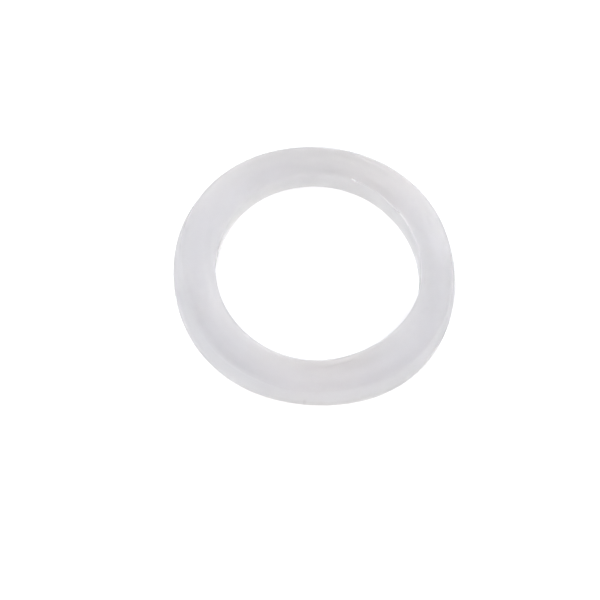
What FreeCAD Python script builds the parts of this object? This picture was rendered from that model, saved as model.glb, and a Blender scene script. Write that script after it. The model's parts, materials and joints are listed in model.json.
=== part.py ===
"""Silicone sealing ring with a D-shaped section, moulded in one piece.

The ring lies on its flat base. Its bore is an upright wall. Its outside stands upright as a short
land above the base and then tapers in. Each side ends in a distinct edge where the domed crown
starts. The origin is the centre of the base, with +Z up through the bore. All lengths are
millimetres.
"""
import FreeCAD, Part
import os

# Diameters of the bore and of the land that runs round the foot of the outside.
OUTER_DIAMETER = 25.0
BORE_DIAMETER = 18.2

# Height of the two sides, from the base to the edges where the crown starts.
WALL_HEIGHT = 2.7

# How high the upright land reaches, and how far the outside then tapers in up to its crown edge.
LAND_HEIGHT = 1.0
OUTSIDE_TAPER = 0.4

# How far the middle of the crown stands above its edges.
CROWN_RISE = 0.9

# Roundings that the mould leaves along the edges of the crown and of the base.
CROWN_EDGE_RADIUS = 0.12
BASE_EDGE_RADIUS = 0.3

# The large rounding that turns the land into the taper without an edge.
LAND_BLEND_RADIUS = 2.0

CENTRE = FreeCAD.Vector(0, 0, 0)
UP = FreeCAD.Vector(0, 0, 1)

# The section is drawn in the plane of the +X and +Z axes.
SECTION_PLANE = Part.Plane(CENTRE, FreeCAD.Vector(0, -1, 0))


def section_point(radius, height):
    """Return the point of the section at a radius from the ring's axis and a height."""
    return FreeCAD.Vector(radius, 0, height)


def round_corners(edges, corners):
    """Return the closed outline with its corners rounded.

    Each entry of corners holds the point where an edge meets the next one, and the radius there.
    """
    edges = list(edges)
    outline = []
    for index, (point, radius) in enumerate(corners):
        following = (index + 1) % len(edges)
        rounding = Part.ChFi2d.FilletAPI(edges[index], edges[following], SECTION_PLANE)
        rounding.perform(radius)
        arc, edges[index], edges[following] = rounding.result(point)
        outline.append(arc)
    return Part.__sortEdges__(outline + edges)


def ring_section():
    """Return the D-shaped face that is turned about the axis: base, two sides and crown."""
    bore_radius = BORE_DIAMETER / 2
    outer_radius = OUTER_DIAMETER / 2
    crown_outer_radius = outer_radius - OUTSIDE_TAPER
    crown_height = WALL_HEIGHT + CROWN_RISE
    base_inner = section_point(bore_radius, 0)
    base_outer = section_point(outer_radius, 0)
    land_top = section_point(outer_radius, LAND_HEIGHT)
    crown_outer = section_point(crown_outer_radius, WALL_HEIGHT)
    crown_middle = section_point((bore_radius + crown_outer_radius) / 2, crown_height)
    crown_inner = section_point(bore_radius, WALL_HEIGHT)
    base = Part.makeLine(base_inner, base_outer)
    land = Part.makeLine(base_outer, land_top)
    taper = Part.makeLine(land_top, crown_outer)
    crown = Part.Arc(crown_outer, crown_middle, crown_inner).toShape()
    bore_wall = Part.makeLine(crown_inner, base_inner)
    corners = [
        (base_outer, BASE_EDGE_RADIUS),
        (land_top, LAND_BLEND_RADIUS),
        (crown_outer, CROWN_EDGE_RADIUS),
        (crown_inner, CROWN_EDGE_RADIUS),
        (base_inner, BASE_EDGE_RADIUS),
    ]
    outline = round_corners([base, land, taper, crown, bore_wall], corners)
    return Part.Face(Part.Wire(outline))


def o_ring():
    """Return the ring: its section turned once about the axis."""
    return ring_section().revolve(CENTRE, UP, 360)


def main():
    """Write the ring to parts/o_ring.step."""
    os.makedirs("parts", exist_ok=True)
    o_ring().exportStep("parts/o_ring.step")


if __name__ == "__main__":
    main()
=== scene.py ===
"""Milky silicone sealing ring, resting on a white table under soft studio light.

The ring is turned as one closed surface from its D-shaped section and dressed in translucent
silicone. A thin lip of flash lies along its bore. Lengths in the classes are millimetres unless
their name ends in _m, and every mesh is made in metres.
"""
import json
import logging
from dataclasses import dataclass, field, replace
from enum import Enum
from math import atan2, cos, exp, hypot, pi, radians, sin, sqrt, tan

import bpy
from mathutils import Matrix, Vector


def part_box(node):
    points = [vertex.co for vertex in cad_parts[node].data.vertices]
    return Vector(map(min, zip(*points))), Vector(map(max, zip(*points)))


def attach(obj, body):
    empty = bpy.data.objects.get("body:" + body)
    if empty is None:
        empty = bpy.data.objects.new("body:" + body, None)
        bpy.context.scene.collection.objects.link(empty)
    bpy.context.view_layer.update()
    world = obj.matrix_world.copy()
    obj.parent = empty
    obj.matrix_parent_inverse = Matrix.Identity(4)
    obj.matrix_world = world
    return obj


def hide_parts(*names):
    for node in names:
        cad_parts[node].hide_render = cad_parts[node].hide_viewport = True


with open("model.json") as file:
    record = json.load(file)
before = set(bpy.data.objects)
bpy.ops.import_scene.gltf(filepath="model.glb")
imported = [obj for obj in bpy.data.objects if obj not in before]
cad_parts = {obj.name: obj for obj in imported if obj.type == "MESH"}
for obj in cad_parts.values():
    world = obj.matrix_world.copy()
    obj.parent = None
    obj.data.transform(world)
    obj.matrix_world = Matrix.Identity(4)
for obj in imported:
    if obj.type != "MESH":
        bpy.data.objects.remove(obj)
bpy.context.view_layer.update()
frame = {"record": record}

LOG = logging.getLogger("sealing_ring")

# One millimetre in the scene's metres.
MM = 0.001

# Side of the square picture, in pixels.
PICTURE_SIDE = 600

# How far the middle of the crown stands above its edges. The frame gives only the full height.
CROWN_RISE_MM = 0.9

# Names under which the ring's mesh carries its haze, with the painted shade and light of its bands
# in it, and how warm that is to the material.
HAZE_AND_PAINTED_LIGHT = "haze"
WARMTH = "warmth"

# Powers for how a stretch ends: as a bell, or flat over most of its length.
BELL = 2
FLAT_TOP = 4

# Nearly all values of a noise texture lie between these two.
NOISE_LOW = 0.3
NOISE_HIGH = 0.7

# A point in metres, and a face as the indices of its corners.
Point = tuple[float, float, float]
Face = tuple[int, ...]


def linear_colour(hex_code: str) -> tuple[float, float, float, float]:
    """Turn an sRGB hex code into linear colour.

    Args:
        hex_code: the colour as "#RRGGBB".

    Returns:
        Red, green, blue and an alpha of one, all linear.
    """
    shares = [int(hex_code[place:place + 2], 16) / 255 for place in (1, 3, 5)]
    linear = [s / 12.92 if s <= 0.04045 else ((s + 0.055) / 1.055) ** 2.4 for s in shares]
    return (*linear, 1.0)


def texture_scale(feature_mm: float) -> float:
    """Return the scale for features of this real size, for a texture in object space."""
    return 1 / (feature_mm * MM)


def add_node(
    tree: bpy.types.NodeTree,
    kind: str,
    settings: dict[str, object] | None = None,
    links: dict[str, bpy.types.NodeSocket] | None = None,
) -> bpy.types.Node:
    """Add a node with its settings and links.

    Args:
        tree: the node tree that gets the node.
        kind: the node's type, such as "ShaderNodeTexNoise".
        settings: values by the name of a property or of an input socket.
        links: the sockets that feed the node, by the name of its input.

    Returns:
        The new node.
    """
    node = tree.nodes.new(kind)
    for name, value in (settings or {}).items():
        if name in node.inputs:
            node.inputs[name].default_value = value
        else:
            setattr(node, name, value)
    for name, source in (links or {}).items():
        tree.links.new(source, node.inputs[name])
    return node


def empty_material(name: str) -> bpy.types.Material:
    """Return a new material that has no nodes yet.

    Args:
        name: the material's name.

    Returns:
        The material.
    """
    material = bpy.data.materials.new(name)
    material.use_nodes = True
    material.node_tree.nodes.clear()
    return material


def add_piece(
    name: str, points: list[Point], faces: list[Face], material: bpy.types.Material,
) -> bpy.types.Object:
    """Add a smooth piece to the scene.

    Args:
        name: the name of the piece.
        points: its points, in metres.
        faces: its faces, as the indices of their corners.
        material: what it is made of.

    Returns:
        The piece.
    """
    mesh = bpy.data.meshes.new(name)
    mesh.from_pydata(points, [], faces)
    mesh.shade_smooth()
    mesh.materials.append(material)
    piece = bpy.data.objects.new(name, mesh)
    bpy.context.scene.collection.objects.link(piece)
    return piece


def wrapped(angle: float) -> float:
    """Return the angle brought between minus half a turn and half a turn."""
    return (angle + pi) % (2 * pi) - pi


@dataclass(frozen=True)
class Wave:
    """A slow wave that the soft ring takes up round its circle when it is laid down.

    Args:
        lobes: how many crests go round the circle.
        height_mm: height of a crest.
        toward_deg: azimuth of one crest.
    """

    lobes: int
    height_mm: float
    toward_deg: float

    def at(self, azimuth: float) -> float:
        """Return the wave's height in millimetres at an azimuth in radians."""
        return self.height_mm * cos(self.lobes * (azimuth - radians(self.toward_deg)))


@dataclass(frozen=True)
class Stretch:
    """A stretch of the circle where one size of the ring differs from its usual value.

    Args:
        middle_deg: azimuth of its middle.
        spread_deg: how far it reaches to either side.
        added: what it adds to the size in its middle.
        order: how steeply it ends, BELL or FLAT_TOP.
    """

    middle_deg: float
    spread_deg: float
    added: float
    order: int = FLAT_TOP

    def at(self, azimuth: float) -> float:
        """Return what is added at an azimuth in radians."""
        away = wrapped(azimuth - radians(self.middle_deg)) / radians(self.spread_deg)
        return self.added * exp(-away ** self.order)


@dataclass(frozen=True)
class Crease:
    """A shallow furrow along the crown, beside the bore, where the rubber has folded in the mould.

    Args:
        middle_deg: azimuth of its middle.
        spread_deg: how far it reaches to either side.
        from_bore_mm: distance from the bore in its middle.
        drift_mm: how much further from the bore its far end runs.
        width_mm: half width of the furrow.
        depth_mm: depth of the furrow.
    """

    middle_deg: float
    spread_deg: float
    from_bore_mm: float
    drift_mm: float
    width_mm: float
    depth_mm: float

    def at(self, azimuth: float, from_bore: float) -> float:
        """Return the furrow's depth in millimetres.

        Args:
            azimuth: where on the circle, in radians.
            from_bore: distance from the bore, in millimetres.

        Returns:
            How far the skin lies lower there.
        """
        away = wrapped(azimuth - radians(self.middle_deg)) / radians(self.spread_deg)
        aside = (from_bore - self.from_bore_mm - self.drift_mm * away) / self.width_mm
        return self.depth_mm * exp(-away ** FLAT_TOP - aside ** BELL)


@dataclass(frozen=True)
class PaintedLightAndMarkBand:
    """A stretch of the skin where more haze in the rubber paints shade, and less haze paints light
    and glints; the scratch band is a mark of the ring itself.

    Args:
        name: which part of the ring it covers.
        stretch: where it lies round the circle, and how much haze it adds, from minus one to one.
            More haze paints shade, less paints light.
        across: where its middle lies across the section, as in SectionPoint.place.
        reach: how far it reaches to either side, in the same measure.
    """

    name: str
    stretch: Stretch
    across: float
    reach: float

    def at(self, azimuth: float, place: float) -> float:
        """Return the haze that is added at an azimuth in radians and a place across the section."""
        return self.stretch.at(azimuth) * exp(-((place - self.across) / self.reach) ** FLAT_TOP)


@dataclass(frozen=True)
class SectionPoint:
    """A point of the section.

    Args:
        x: distance from the middle of the base, positive away from the bore.
        z: height above the base.
        place: how far along the section it lies: 0 to 1 up the bore wall, 1 to 2 over the crown,
            2 to 3 down the outside, and 4 on the base.
    """

    x: float
    z: float
    place: float


@dataclass(frozen=True)
class RingSection:
    """The section that is turned about the axis: flat base, two sides and a domed crown.

    The frame gives the width and the height. The smaller sizes repeat those of the solid.

    Args:
        width: width over the base.
        wall_height: height of the edges where the crown starts.
        crown_rise: how far the middle of the crown stands above its edges.
        land_height: how high the outside stands upright.
        outside_taper: how far the outside then leans in up to its crown edge.
        outer_edge_radius: rounding of the crown edge at the outside.
        bore_edge_radius: rounding of the crown edge at the bore.
        base_edge_radius: rounding of both base edges.
        land_blend_radius: rounding between the land and the taper.
        arc_steps: steps along each rounding.
        side_steps: steps along each straight side.
        crown_steps: steps over the crown.
    """

    width: float
    wall_height: float
    crown_rise: float
    land_height: float = 1.0
    outside_taper: float = 0.4
    outer_edge_radius: float = 0.12
    bore_edge_radius: float = 0.12
    base_edge_radius: float = 0.3
    land_blend_radius: float = 2.0
    arc_steps: int = 8
    side_steps: int = 10
    crown_steps: int = 40

    def outline(self) -> list[SectionPoint]:
        """Draw the section.

        Returns:
            The points of its closed outline, in turn from the bore's side of the base.
        """
        half = self.width / 2
        base_middle = Vector((0, 0))
        base_outer = Vector((half, 0))
        land_top = Vector((half, self.land_height))
        outer_edge = Vector((half - self.outside_taper, self.wall_height))
        inner_edge = Vector((-half, self.wall_height))
        base_inner = Vector((-half, 0))

        reach = (outer_edge.x - inner_edge.x) / 2
        radius = (reach ** 2 + self.crown_rise ** 2) / (2 * self.crown_rise)
        centre = Vector((outer_edge.x - reach, self.wall_height + self.crown_rise - radius))

        foot = self.rounding(base_outer, base_middle - base_outer, land_top - base_outer,
                             self.base_edge_radius)
        blend = self.rounding(land_top, base_outer - land_top, outer_edge - land_top,
                              self.land_blend_radius)
        outer = self.crown_rounding(centre, radius, outer_edge, land_top, self.outer_edge_radius)
        inner = self.crown_rounding(centre, radius, inner_edge, base_inner, self.bore_edge_radius)
        inner.reverse()
        heel = self.rounding(base_inner, inner_edge - base_inner, base_middle - base_inner,
                             self.base_edge_radius)

        start, end = (atan2(p.y - centre.y, p.x - centre.x) for p in (outer[-1], inner[0]))
        crown = []
        for step in range(1, self.crown_steps):
            angle = start + (end - start) * step / self.crown_steps
            crown.append(centre + radius * Vector((cos(angle), sin(angle))))

        bore_wall = self.between(inner[-1], heel[0])
        outside = foot + blend + self.between(blend[-1], outer[0])
        points = [SectionPoint(p.x, p.y, 4) for p in self.between(heel[-1], foot[0])]
        points += [SectionPoint(p.x, p.y, 3 - p.y / self.wall_height) for p in outside]
        points += [SectionPoint(p.x, p.y, 2) for p in outer]
        points += [SectionPoint(p.x, p.y, 2 - (step + 1) / self.crown_steps)
                   for step, p in enumerate(crown)]
        points += [SectionPoint(p.x, p.y, 1) for p in inner]
        points += [SectionPoint(p.x, p.y, p.y / self.wall_height) for p in bore_wall + heel]
        return points

    def rounding(
        self, corner: Vector, back: Vector, onward: Vector, radius: float,
    ) -> list[Vector]:
        """Round the corner between two straight sides with a true arc.

        Args:
            corner: the sharp corner.
            back: direction from the corner along the side before it.
            onward: direction from the corner along the side after it.
            radius: radius of the arc.

        Returns:
            Points from the end of the side before to the start of the side after.
        """
        back, onward = back.normalized(), onward.normalized()
        half_turn = (pi - back.angle(onward)) / 2
        centre = corner + (back + onward).normalized() * radius / cos(half_turn)
        first = corner + back * radius * tan(half_turn) - centre
        points = []
        for step in range(self.arc_steps + 1):
            angle = 2 * half_turn * step / self.arc_steps
            points.append(centre + Matrix.Rotation(angle, 2) @ first)
        return points

    def crown_rounding(
        self, centre: Vector, crown_radius: float, edge: Vector, foot: Vector, radius: float,
    ) -> list[Vector]:
        """Round the edge between a straight side and the crown's arc with a true arc.

        Args:
            centre: centre of the crown's arc.
            crown_radius: radius of the crown's arc.
            edge: the sharp edge.
            foot: the lower end of the side.
            radius: radius of the rounding.

        Returns:
            Points from the side to the crown.
        """
        down = (foot - edge).normalized()
        inward = Vector((-down.y, down.x))
        if inward.dot(centre - edge) < 0:
            inward = -inward
        # The rounding's centre lies its radius away from the side and from the crown's arc.
        offset = edge + inward * radius - centre
        along = -offset.dot(down) - sqrt(
            offset.dot(down) ** 2 - offset.dot(offset) + (crown_radius - radius) ** 2)
        middle = edge + inward * radius + down * along
        first = edge + down * along - middle
        turn = (middle - centre).normalized().angle_signed(first)
        return [middle + Matrix.Rotation(turn * step / self.arc_steps, 2) @ first
                for step in range(self.arc_steps + 1)]

    def between(self, first: Vector, last: Vector) -> list[Vector]:
        """Return evenly spaced points inside a straight side."""
        return [first.lerp(last, step / self.side_steps) for step in range(1, self.side_steps)]


@dataclass(frozen=True)
class MilkySilicone:
    """Platinum-cured silicone rubber, moulded, with a light haze in it.

    Light goes in nearly everywhere and leaves scattered, so the eye gets a milky body with soft
    edges and only a satin shine. The mould's blasted face leaves the surface finely matt. Where the
    haze is thick the body is greyer and a little violet, and where it is thin nearly colourless.
    """

    name: str = "moulded_milky_silicone"
    clear_body: str = "#FFFFFF"
    hazy_body: str = "#DADADB"
    warm_haze: str = "#DCDAD9"
    thick_body: str = "#BEBDBE"
    absorption_per_m: float = 100.0
    roughness: float = 0.6
    roughness_swing: float = 0.05
    ior: float = 1.41
    cloud_mm: float = 7.0
    haze_mm: float = 2.2
    haze_swing: float = 0.07
    warmth_swing: float = 0.3

    # The grain that blasting leaves is finer. It is drawn as coarse as it needs to show.
    blast_grain_mm: float = 0.16
    grain_height_mm: float = 0.004

    def material(self) -> bpy.types.Material:
        """Make the material.

        Returns:
            The material with its nodes.
        """
        material = empty_material(self.name)
        tree = material.node_tree
        place = add_node(tree, "ShaderNodeTexCoord").outputs["Object"]

        # The haze lies as the ring's bands say, with fine clouds in it; the bands paint shade where
        # they add haze and light where they take it away. Some of it is warmer.
        haze = add_node(
            tree, "ShaderNodeTexNoise",
            {"Scale": texture_scale(self.haze_mm), "Detail": 3.0, "Roughness": 0.6},
            {"Vector": place})
        clouds = add_node(
            tree, "ShaderNodeTexNoise",
            {"Scale": texture_scale(self.cloud_mm), "Detail": 2.0, "Roughness": 0.5},
            {"Vector": place})
        tint = add_node(
            tree, "ShaderNodeMixRGB",
            {"Color1": linear_colour(self.hazy_body), "Color2": linear_colour(self.warm_haze)},
            {"Fac": self.clouded(tree, WARMTH, clouds, self.warmth_swing)})
        body = add_node(
            tree, "ShaderNodeMixRGB", {"Color1": linear_colour(self.clear_body)},
            {"Fac": self.clouded(tree, HAZE_AND_PAINTED_LIGHT, haze, self.haze_swing),
             "Color2": tint.outputs["Color"]})

        # The blasted face of the mould is a little finer in some places than in others.
        roughness = add_node(
            tree, "ShaderNodeMapRange",
            {"From Min": NOISE_LOW, "From Max": NOISE_HIGH,
             "To Min": self.roughness - self.roughness_swing,
             "To Max": self.roughness + self.roughness_swing},
            {"Value": haze.outputs["Fac"]})
        grain = add_node(
            tree, "ShaderNodeTexNoise",
            {"Scale": texture_scale(self.blast_grain_mm), "Detail": 1.0},
            {"Vector": place})
        bump = add_node(
            tree, "ShaderNodeBump",
            {"Strength": 1.0, "Distance": self.grain_height_mm * MM},
            {"Height": grain.outputs["Fac"]})

        shader = add_node(
            tree, "ShaderNodeBsdfPrincipled",
            {"IOR": self.ior, "Transmission Weight": 1.0},
            {"Base Color": body.outputs["Color"], "Roughness": roughness.outputs["Result"],
             "Normal": bump.outputs["Normal"]})
        depth = add_node(
            tree, "ShaderNodeVolumeAbsorption",
            {"Color": linear_colour(self.thick_body), "Density": self.absorption_per_m})
        add_node(
            tree, "ShaderNodeOutputMaterial", None,
            {"Surface": shader.outputs["BSDF"], "Volume": depth.outputs["Volume"]})
        return material

    def clouded(
        self, tree: bpy.types.NodeTree, carried: str, noise: bpy.types.Node, swing: float,
    ) -> bpy.types.NodeSocket:
        """Add fine clouds to what the mesh carries.

        Args:
            tree: the node tree that gets the nodes.
            carried: the name under which the mesh carries it.
            noise: the noise that gives the clouds.
            swing: how much the clouds add or take away.

        Returns:
            The sum, between none and one.
        """
        gathered = add_node(tree, "ShaderNodeAttribute", {"attribute_name": carried})
        cloudy = add_node(
            tree, "ShaderNodeMapRange",
            {"From Min": NOISE_LOW, "From Max": NOISE_HIGH, "To Min": -swing, "To Max": swing},
            {"Value": noise.outputs["Fac"]})
        total = add_node(tree, "ShaderNodeMath", {"operation": "ADD", "use_clamp": True})
        tree.links.new(gathered.outputs["Fac"], total.inputs[0])
        tree.links.new(cloudy.outputs["Result"], total.inputs[1])
        return total.outputs["Value"]


@dataclass(frozen=True)
class FlashSilicone:
    """Silicone flash, squeezed out between the mould's halves and torn off.

    It is at most about a tenth of a millimetre thick, and its torn face scatters nearly all light,
    so the eye gets a fine pale line. It is greyer where the tear is worn.
    """

    name: str = "torn_silicone_flash"
    pale_edge: str = "#CACACC"
    worn_edge: str = "#BEBEC1"
    roughness: float = 0.6
    ior: float = 1.41
    scatter_mm: float = 0.5
    tear_mm: float = 1.2

    # The noise of the tears leaves the edge whole below the first value, and worn above the second.
    whole_below: float = 0.35
    worn_above: float = 0.65

    def material(self) -> bpy.types.Material:
        """Make the material.

        Returns:
            The material with its nodes.
        """
        material = empty_material(self.name)
        tree = material.node_tree
        place = add_node(tree, "ShaderNodeTexCoord").outputs["Object"]
        tears = add_node(
            tree, "ShaderNodeTexNoise",
            {"Scale": texture_scale(self.tear_mm), "Detail": 2.0}, {"Vector": place})
        worn = add_node(
            tree, "ShaderNodeMapRange",
            {"From Min": self.whole_below, "From Max": self.worn_above},
            {"Value": tears.outputs["Fac"]})
        body = add_node(
            tree, "ShaderNodeMixRGB",
            {"Color1": linear_colour(self.pale_edge), "Color2": linear_colour(self.worn_edge)},
            {"Fac": worn.outputs["Result"]})
        shader = add_node(
            tree, "ShaderNodeBsdfPrincipled",
            {"IOR": self.ior, "Roughness": self.roughness, "Subsurface Weight": 1.0,
             "Subsurface Radius": (1.0, 1.0, 1.0), "Subsurface Scale": self.scatter_mm * MM},
            {"Base Color": body.outputs["Color"]})
        add_node(tree, "ShaderNodeOutputMaterial", None, {"Surface": shader.outputs["BSDF"]})
        return material


def near_side_painted_light_and_mark_bands() -> tuple[PaintedLightAndMarkBand, ...]:
    """Return the bands of painted shade and light, and the scratch, of the side with the crease,
    where the outside shows.
    """
    return (
        # A band with more haze paints shade and one with less paints light: shade on the shoulders,
        # the right crown and rim, the left bore edge, a stretch of the outside and past the crease;
        # light under the left edge, on the outside, the feet, the near bore edge, the left middle
        # and the crease lip; and the edge glints as painted highlights. The scratch is a mark of
        # the ring itself.
        PaintedLightAndMarkBand("shoulder", Stretch(-100, 58, 0.16), 1.9, 0.14),
        PaintedLightAndMarkBand("left_shoulder", Stretch(-134, 25, 0.24), 1.75, 0.2),
        PaintedLightAndMarkBand("above_left_edge", Stretch(-120, 17, 0.12), 1.92, 0.05),
        PaintedLightAndMarkBand("below_left_edge", Stretch(-120, 17, -0.22), 2.08, 0.06),
        PaintedLightAndMarkBand("outside", Stretch(-88, 72, -0.18), 2.5, 0.4),
        PaintedLightAndMarkBand("left_bore_edge", Stretch(-160, 30, 0.2), 1.12, 0.12),
        PaintedLightAndMarkBand("right_crown", Stretch(-45, 22, 0.16), 1.72, 0.2),
        PaintedLightAndMarkBand("right_foot", Stretch(-42, 32, -0.4), 2.96, 0.1),
        PaintedLightAndMarkBand("left_foot", Stretch(-108, 14, -0.28), 2.96, 0.1),
        PaintedLightAndMarkBand("right_rim", Stretch(-12, 12, 0.35), 2.4, 0.33),
        PaintedLightAndMarkBand("near_bore_edge", Stretch(-115, 32, -0.12), 1.22, 0.1),
        PaintedLightAndMarkBand("left_edge_glint", Stretch(-124, 2.5, -0.4), 1.12, 0.06),
        PaintedLightAndMarkBand("right_edge_glint", Stretch(-36, 3, -0.3), 1.12, 0.06),
        PaintedLightAndMarkBand("crease_lip", Stretch(-74, 12, -0.25), 1.22, 0.08),
        PaintedLightAndMarkBand("past_crease", Stretch(-62, 9, 0.16), 1.45, 0.12),
        PaintedLightAndMarkBand("painted_shade_outside", Stretch(-98, 14, 0.25), 2.45, 0.45),
        PaintedLightAndMarkBand("left_middle", Stretch(-177, 20, -0.14), 1.5, 0.3),
        PaintedLightAndMarkBand("scratch", Stretch(-88, 0.7, 0.4), 2.75, 0.2),
    )


def far_side_painted_light_bands() -> tuple[PaintedLightAndMarkBand, ...]:
    """Return the bands of painted shade and light of the side with the flash, where the bore wall
    shows.
    """
    return (
        # A band with more haze paints shade and one with less paints light: shade on the bore,
        # beside and past the flash and on the back rim; light on the far crown, the far shoulders
        # and the left rim; and the rim glint as a painted highlight.
        PaintedLightAndMarkBand("bore", Stretch(106, 35, 0.2), 0.7, 0.45),
        PaintedLightAndMarkBand("far_left_crown", Stretch(118, 20, -0.3), 1.42, 0.25),
        PaintedLightAndMarkBand("far_left_shoulder", Stretch(143, 18, -0.4), 1.62, 0.28),
        PaintedLightAndMarkBand("left_rim", Stretch(178, 20, -0.4), 2.2, 0.25),
        PaintedLightAndMarkBand("right_bore", Stretch(53, 10, -0.12), 0.75, 0.3),
        PaintedLightAndMarkBand("beside_flash", Stretch(57, 14, 0.28), 1.09, 0.13),
        PaintedLightAndMarkBand("past_flash", Stretch(82, 8, 0.16), 0.93, 0.08),
        PaintedLightAndMarkBand("far_right_shoulder", Stretch(36, 28, -0.4), 1.72, 0.3),
        PaintedLightAndMarkBand("far_right_crown", Stretch(52, 10, -0.2), 1.58, 0.25),
        PaintedLightAndMarkBand("back_rim", Stretch(73, 14, 0.14), 1.8, 0.14),
        PaintedLightAndMarkBand("rim_glint", Stretch(60, 3, -0.5), 1.8, 0.06),
    )


@dataclass
class Skin:
    """The ring's surface, with what its points carry.

    Args:
        points: its points, in metres.
        faces: its faces, as the indices of their corners.
        haze: the haze at each point, with the painted shade and light of the bands in it.
        warmth: how warm the haze is at each point.
    """

    points: list[Point] = field(default_factory=list)
    faces: list[Face] = field(default_factory=list)
    haze: list[float] = field(default_factory=list)
    warmth: list[float] = field(default_factory=list)


@dataclass
class SealingRing:
    """The ring: one moulding, turned from its section and slightly out of true.

    Args:
        outer_radius: radius of the land at the foot of the outside.
        section: the section that is turned.
        finish: the silicone that it is dressed in.
        middle_waves: how the section's middle line wanders, in millimetres.
        width_waves: how the section's width varies, in millimetres.
        lean: what the taper of the outside gains or loses, in millimetres.
        softer_outer_edge: what the rounding of the outer crown edge gains, in millimetres.
        softer_bore_edge: what the rounding of the crown edge at the bore gains, in millimetres.
        creases: furrows in the crown.
        usual_haze: the haze where no band adds or takes any.
        painted_light_and_mark_bands: where the haze is thicker, as painted shade, and where it is
            thinner, as painted light, and one scratch.
        warm_stretches: where the haze is warmer, and by how much, up to one.
        turning_steps: steps round the circle.
    """

    outer_radius: float
    section: RingSection
    finish: MilkySilicone
    middle_waves: tuple[Wave, ...] = (
        Wave(1, 0.02, -65), Wave(2, 0.045, -4), Wave(3, 0.03, -12), Wave(4, 0.045, -35))
    width_waves: tuple[Wave, ...] = (
        Wave(1, 0.195, -153), Wave(2, 0.19, -15), Wave(3, 0.095, 57), Wave(4, 0.125, -40),
        Wave(5, 0.045, 23))
    lean: tuple[Stretch, ...] = (Stretch(-93, 14, -0.2, BELL), Stretch(-158, 20, 0.28, BELL))
    softer_outer_edge: tuple[Stretch, ...] = (
        Stretch(-12, 50, 0.5), Stretch(-75, 14, 0.3), Stretch(-172, 28, 0.5))
    softer_bore_edge: tuple[Stretch, ...] = (Stretch(140, 66, 1.2),)
    creases: tuple[Crease, ...] = (
        Crease(-74, 12, from_bore_mm=1.03, drift_mm=-0.17, width_mm=0.09, depth_mm=0.05),)
    usual_haze: float = 0.5
    # Painted shade and light as thicker and thinner haze, and one scratch.
    painted_light_and_mark_bands: tuple[PaintedLightAndMarkBand, ...] = near_side_painted_light_and_mark_bands() + far_side_painted_light_bands()
    warm_stretches: tuple[Stretch, ...] = (
        Stretch(-78, 30, 1.0, BELL), Stretch(62, 26, 0.8, BELL), Stretch(127, 30, 0.6, BELL))
    turning_steps: int = 600

    def build(self) -> bpy.types.Object:
        """Make the ring, dress it and put it in the place of the solid.

        Returns:
            The ring's object.
        """
        skin = self.skin()
        ring = add_piece("sealing_ring", skin.points, skin.faces, self.finish.material())
        for name, values in ((HAZE_AND_PAINTED_LIGHT, skin.haze), (WARMTH, skin.warmth)):
            ring.data.attributes.new(name, "FLOAT", "POINT").data.foreach_set("value", values)
        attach(ring, "root")
        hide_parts("o_ring")
        LOG.info("bands of haze: %s", ", ".join(band.name for band in self.painted_light_and_mark_bands))
        return ring

    def skin(self) -> Skin:
        """Turn the section about the axis.

        Returns:
            The closed surface.
        """
        skin = Skin()
        for turn in range(self.turning_steps):
            azimuth = 2 * pi * turn / self.turning_steps
            following = (turn + 1) % self.turning_steps
            outline = self.section_at(azimuth).outline()
            count = len(outline)
            skin.warmth += [sum(stretch.at(azimuth) for stretch in self.warm_stretches)] * count
            for index, point in enumerate(outline):
                # The bands paint shade and light into the haze, and add the scratch.
                added = sum(band.at(azimuth, point.place) for band in self.painted_light_and_mark_bands)
                skin.points.append(self.placed(point, azimuth))
                skin.haze.append(self.usual_haze + added)
                after = (index + 1) % count
                skin.faces.append((turn * count + index, following * count + index,
                                   following * count + after, turn * count + after))
        return skin

    def section_at(self, azimuth: float) -> RingSection:
        """Give the section its lean and its softer edges.

        Args:
            azimuth: where on the circle, in radians.

        Returns:
            The section as it is there.
        """
        added = [sum(stretch.at(azimuth) for stretch in stretches)
                 for stretches in (self.lean, self.softer_outer_edge, self.softer_bore_edge)]
        return replace(
            self.section,
            outside_taper=self.section.outside_taper + added[0],
            outer_edge_radius=self.section.outer_edge_radius + added[1],
            bore_edge_radius=self.section.bore_edge_radius + added[2],
        )

    def bore_edge_at(self, azimuth: float) -> tuple[float, float]:
        """Return where the bore's crown edge lies.

        Args:
            azimuth: where on the circle, in radians.

        Returns:
            Its distance from the axis and its height above the base, in millimetres.
        """
        rounded = [point for point in self.section_at(azimuth).outline() if point.place == 1]
        x, y, z = self.placed(rounded[len(rounded) // 2], azimuth)
        return hypot(x, y) / MM, z / MM

    def middle_radius(self, azimuth: float) -> float:
        """Return how far the section's middle line lies from the axis, in millimetres."""
        plain = self.outer_radius - self.section.width / 2
        return plain + sum(wave.at(azimuth) for wave in self.middle_waves)

    def width_at(self, azimuth: float) -> float:
        """Return the section's width in millimetres at an azimuth in radians."""
        return self.section.width + sum(wave.at(azimuth) for wave in self.width_waves)

    def placed(self, point: SectionPoint, azimuth: float) -> Point:
        """Put a point of the section where it belongs on the ring.

        Args:
            point: the point of the section.
            azimuth: where on the circle, in radians.

        Returns:
            Where it comes to lie, in metres.
        """
        width = self.width_at(azimuth)
        across = point.x * width / self.section.width
        up = point.z
        if 1 < point.place < 2:
            up -= sum(crease.at(azimuth, across + width / 2) for crease in self.creases)
        radius = self.middle_radius(azimuth) + across
        return (radius * cos(azimuth) * MM, radius * sin(azimuth) * MM, up * MM)


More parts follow.
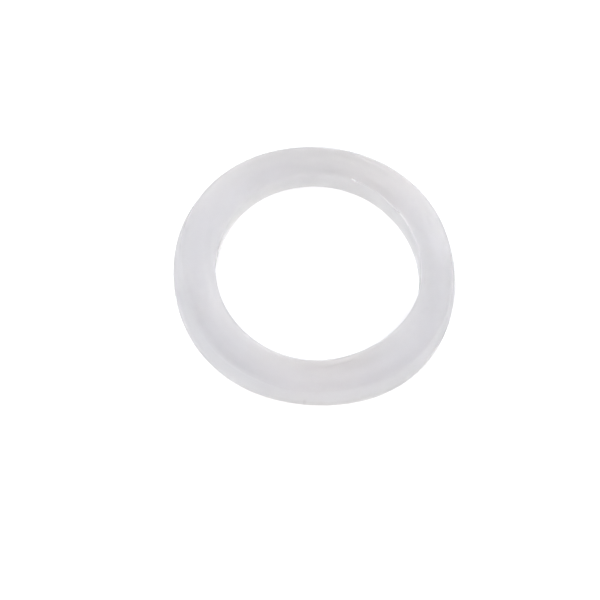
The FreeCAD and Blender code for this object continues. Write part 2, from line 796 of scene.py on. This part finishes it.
@dataclass
class BoreFlash:
    """The thin lip of rubber that the mould has left along the bore's crown edge.

    Args:
        ring: the ring that carries it.
        finish: the silicone that it is dressed in.
        start_deg: azimuth where it starts, from nearly nothing.
        end_deg: azimuth where it ends, torn off short.
        fade_deg: over how far it grows from its start.
        blunt_start_deg: how much of that growth it has at its very start.
        blunt_end_deg: how much of its last degree is left where it is torn off.
        thickness_mm: its thickness where it is thinnest, and where it is thickest.
        height_mm: how far it stands up where it is thinnest, and where it is thickest.
        sunk_mm: how far it reaches down into the ring.
        folds: where it lies over, towards the bore or away from it, in millimetres.
        thicker: where it is thicker, the last of them the nub at its torn end.
        steps: steps along it.
        rim_steps: steps round it.
    """

    ring: SealingRing
    finish: FlashSilicone
    start_deg: float = -6
    end_deg: float = 77
    fade_deg: float = 8
    blunt_start_deg: float = 0.5
    blunt_end_deg: float = 0.3
    thickness_mm: tuple[float, float] = (0.02, 0.07)
    height_mm: tuple[float, float] = (0.03, 0.07)
    sunk_mm: float = 0.03
    folds: tuple[Stretch, ...] = (Stretch(51, 7, -0.08), Stretch(39, 4, 0.1))
    thicker: tuple[Stretch, ...] = (Stretch(46, 6, 0.8), Stretch(75.5, 1.2, 1.8))
    steps: int = 240
    rim_steps: int = 10

    def build(self) -> bpy.types.Object:
        """Make the lip and lay it on the ring.

        Returns:
            The lip's object.
        """
        points, faces = self.surface()
        lip = add_piece("bore_flash", points, faces, self.finish.material())
        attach(lip, "root")
        return lip

    def surface(self) -> tuple[list[Point], list[Face]]:
        """Run an oval rim along the bore's crown edge and close its two ends.

        Returns:
            The points in metres, and the faces as the indices of their corners.
        """
        points = []
        faces = []
        for step in range(self.steps + 1):
            share = step / self.steps
            azimuth = radians(self.start_deg + (self.end_deg - self.start_deg) * share)
            whole = self.whole_at(share)
            thicker = sum(stretch.at(azimuth) for stretch in self.thicker)
            thickness, height = (
                (least + (most - least) * thicker) * whole
                for least, most in (self.thickness_mm, self.height_mm))
            middle, foot = self.ring.bore_edge_at(azimuth)
            middle += sum(fold.at(azimuth) for fold in self.folds)
            foot -= self.sunk_mm
            for corner in range(self.rim_steps):
                angle = 2 * pi * corner / self.rim_steps
                radius = middle + thickness / 2 * cos(angle)
                up = foot + (self.sunk_mm * whole + height) * (1 + sin(angle)) / 2
                points.append((radius * cos(azimuth) * MM, radius * sin(azimuth) * MM, up * MM))
                after = (corner + 1) % self.rim_steps
                if step < self.steps:
                    row, onward = step * self.rim_steps, (step + 1) * self.rim_steps
                    faces.append((row + corner, onward + corner, onward + after, row + after))
        last = self.steps * self.rim_steps
        faces.append(tuple(range(self.rim_steps)))
        faces.append(tuple(reversed(range(last, last + self.rim_steps))))
        return points, faces

    def whole_at(self, share: float) -> float:
        """Work out how much of the lip is there.

        Args:
            share: how far along the lip, from none to one.

        Returns:
            Its share of the full size, from nearly none to one.
        """
        length = self.end_deg - self.start_deg
        grown = min(1, (share * length + self.blunt_start_deg) / self.fade_deg)
        torn = min(1, (1 - share) * length + self.blunt_end_deg)
        return grown * torn


@dataclass(frozen=True)
class MattePaper:
    """Matt white table paper, uncoated.

    Its fine tooth leaves no shine, so the eye gets a plain white.
    """

    name: str = "matt_white_paper"
    light_sheet: str = "#FAFAFA"
    dark_sheet: str = "#F8F8F8"
    roughness: float = 0.95
    mottle_mm: float = 40.0

    def material(self) -> bpy.types.Material:
        """Make the material.

        Returns:
            The material with its nodes.
        """
        material = empty_material(self.name)
        tree = material.node_tree
        place = add_node(tree, "ShaderNodeTexCoord").outputs["Object"]
        mottle = add_node(
            tree, "ShaderNodeTexNoise",
            {"Scale": texture_scale(self.mottle_mm), "Detail": 2.0}, {"Vector": place})
        sheet = add_node(
            tree, "ShaderNodeMixRGB",
            {"Color1": linear_colour(self.dark_sheet), "Color2": linear_colour(self.light_sheet)},
            {"Fac": mottle.outputs["Fac"]})
        shader = add_node(
            tree, "ShaderNodeBsdfPrincipled",
            {"Roughness": self.roughness, "Specular IOR Level": 0.0},
            {"Base Color": sheet.outputs["Color"]})
        add_node(tree, "ShaderNodeOutputMaterial", None, {"Surface": shader.outputs["BSDF"]})
        return material


class LampTint(Enum):
    """Colours of the lamps: those overhead are a little cooler than those at the sides."""

    NEUTRAL = "#FAFEFF"
    WARM = "#FFF8EE"
    COOL = "#F0F2FF"


@dataclass(frozen=True)
class SoftLight:
    """A square soft box that points at the ring.

    Args:
        name: what the light does.
        azimuth_deg: where it stands, anticlockwise from the +X axis.
        elevation_deg: how high it stands above the table.
        power_w: its power.
        tint: the colour of its lamp.
        side_m: side of its square face.
        distance_m: distance from the ring.
    """

    name: str
    azimuth_deg: float
    elevation_deg: float
    power_w: float
    tint: LampTint = LampTint.NEUTRAL
    side_m: float = 0.3
    distance_m: float = 0.7

    def build(self) -> bpy.types.Object:
        """Hang the light.

        Returns:
            The light's object.
        """
        lamp = bpy.data.lights.new(self.name, "AREA")
        lamp.shape = "SQUARE"
        lamp.size = self.side_m
        lamp.energy = self.power_w
        lamp.color = linear_colour(self.tint.value)[:3]
        light = bpy.data.objects.new(self.name, lamp)
        bpy.context.scene.collection.objects.link(light)
        azimuth, elevation = radians(self.azimuth_deg), radians(self.elevation_deg)
        toward = Vector((
            cos(azimuth) * cos(elevation), sin(azimuth) * cos(elevation), sin(elevation)))
        light.location = toward * self.distance_m
        light.rotation_mode = "QUATERNION"
        light.rotation_quaternion = (-toward).to_track_quat("-Z", "Y")
        return light


@dataclass
class Studio:
    """White table, soft boxes and the plain light of the room."""

    paper: MattePaper = field(default_factory=MattePaper)
    table_side_m: float = 2.0
    clearance_mm: float = 0.01
    room_colour: str = "#FFFFFF"
    room_strength: float = 0.02
    lights: tuple[SoftLight, ...] = (
        SoftLight("low_back_right", 60, 15, 2.05, LampTint.NEUTRAL),
        SoftLight("low_back", 120, 15, 1.95, LampTint.WARM),
        SoftLight("low_back_left", 150, 15, 2.65, LampTint.NEUTRAL),
        SoftLight("low_front_left", 210, 15, 3.2, LampTint.WARM),
        SoftLight("right", 30, 50, 0.9, LampTint.NEUTRAL),
        SoftLight("front", 270, 50, 1.8, LampTint.WARM),
        SoftLight("high_right", 0, 70, 1.35, LampTint.COOL),
        SoftLight("high_back_left", 150, 70, 0.7, LampTint.COOL),
        SoftLight("high_front_left", 240, 70, 1.75, LampTint.COOL),
    )

    def build(self) -> bpy.types.Object:
        """Lay the table and set the lights.

        Returns:
            The table's object.
        """
        half = self.table_side_m / 2
        height = -self.clearance_mm * MM
        corners = [(x, y, height) for x, y in (
            (-half, -half), (half, -half), (half, half), (-half, half))]
        table = add_piece("table", corners, [(0, 1, 2, 3)], self.paper.material())
        for light in self.lights:
            light.build()
        world = bpy.data.worlds.new("room")
        world.use_nodes = True
        world.node_tree.nodes.clear()
        room = add_node(
            world.node_tree, "ShaderNodeBackground",
            {"Color": linear_colour(self.room_colour), "Strength": self.room_strength})
        add_node(
            world.node_tree, "ShaderNodeOutputWorld", None,
            {"Surface": room.outputs["Background"]})
        bpy.context.scene.world = world
        LOG.info("lights: %s", ", ".join(light.name for light in self.lights))
        return table


@dataclass(frozen=True)
class ProductCamera:
    """The camera at the picture's viewing angle.

    Args:
        elevation_deg: height of the view above the table.
        roll_deg: how far the camera is turned about its own axis.
        focal_pixels: focal length in pixels of the picture.
        pixels_per_mm: scale of the ring in the picture.
        centre_px: where the middle of the ring's base lies in the picture.
        sensor_mm: width of the sensor.
    """

    elevation_deg: float = 64.5
    roll_deg: float = 7.4
    focal_pixels: float = 2725
    pixels_per_mm: float = 11.23
    centre_px: tuple[float, float] = (315.1, 279.0)
    sensor_mm: float = 36.0

    def build(self) -> bpy.types.Object:
        """Set up the camera.

        Returns:
            The camera's object.
        """
        lens = bpy.data.cameras.new("product_camera")
        lens.sensor_width = self.sensor_mm
        lens.lens = self.focal_pixels / PICTURE_SIDE * self.sensor_mm
        lens.clip_start = MM
        camera = bpy.data.objects.new("product_camera", lens)
        bpy.context.scene.collection.objects.link(camera)
        elevation = radians(self.elevation_deg)
        back = Vector((0, -cos(elevation), sin(elevation)))
        turned = (-back).to_track_quat("-Z", "Y").to_matrix().to_4x4()
        turned = turned @ Matrix.Rotation(radians(self.roll_deg), 4, "Z")
        middle = PICTURE_SIDE / 2
        aside = Vector((middle - self.centre_px[0], self.centre_px[1] - middle, 0))
        offset = turned.to_3x3() @ aside / self.pixels_per_mm * MM
        distance = self.focal_pixels / self.pixels_per_mm * MM
        camera.matrix_world = Matrix.Translation(back * distance + offset) @ turned
        bpy.context.scene.camera = camera
        LOG.info("camera: %.0f mm lens at %.3f m", lens.lens, distance)
        return camera


def ring_from_frame() -> SealingRing:
    """Size the ring as the frame says.

    Returns:
        The ring, not built yet.
    """
    lowest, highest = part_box("o_ring")
    bore = next(mount for mount in frame["record"]["mounts"] if mount["name"] == "bore_wall")
    outer_radius = (highest.x - lowest.x) / 2 / MM
    section = RingSection(
        width=outer_radius - bore["dims"]["r_mm"],
        wall_height=highest.z / MM - CROWN_RISE_MM,
        crown_rise=CROWN_RISE_MM,
    )
    return SealingRing(outer_radius, section, MilkySilicone())


def main() -> None:
    """Build the ring, its flash, the studio and the camera, and report the pieces."""
    logging.basicConfig(level=logging.INFO, format="%(name)s %(message)s")
    bpy.context.scene.view_settings.view_transform = "Standard"
    ring = ring_from_frame()
    pieces = [ring.build(), BoreFlash(ring, FlashSilicone()).build(), Studio().build()]
    ProductCamera().build()
    for piece in pieces:
        LOG.info("%s: %d faces in %s",
                 piece.name, len(piece.data.polygons), piece.data.materials[0].name)


if __name__ == "__main__":
    main()
